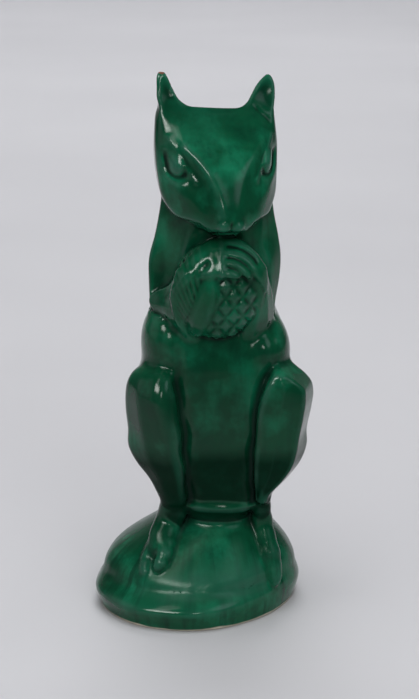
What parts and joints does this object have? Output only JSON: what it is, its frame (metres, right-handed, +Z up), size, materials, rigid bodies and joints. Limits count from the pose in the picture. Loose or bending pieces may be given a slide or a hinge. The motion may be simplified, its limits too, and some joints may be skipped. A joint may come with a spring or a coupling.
{
  "type": "squirrel money box",
  "caption": "Glazed pottery money box in the form of a sitting squirrel with a nut, hollow, with a coin slot behind the head and a cork in the base.",
  "frame": {"origin": "centre of the money box's bounding box, on the surface that it stands on", "axes": "+Z up, the squirrel's chest towards -Y, its left side towards +X"},
  "size_m": [0.083, 0.0882, 0.208],
  "materials": {
    "green_glaze": "deep green gloss glaze over buff earthenware",
    "cork": "natural cork"
  },
  "bodies": {
    "figure": {"mound": "green_glaze", "torso": "green_glaze", "head": "green_glaze", "right_ear": "green_glaze", "left_ear": "green_glaze", "right_arm": "green_glaze", "left_arm": "green_glaze", "nut": "green_glaze", "right_haunch": "green_glaze", "left_haunch": "green_glaze", "right_foot": "green_glaze", "left_foot": "green_glaze", "tail": "green_glaze"},
    "stopper": {"cork": "cork"}
  },
  "joints": [
    {"name": "cork_pull", "type": "slide", "parent": "figure", "child": "stopper", "axis": [0, 0, -1], "range_m": [0, 0.03]}
  ]
}
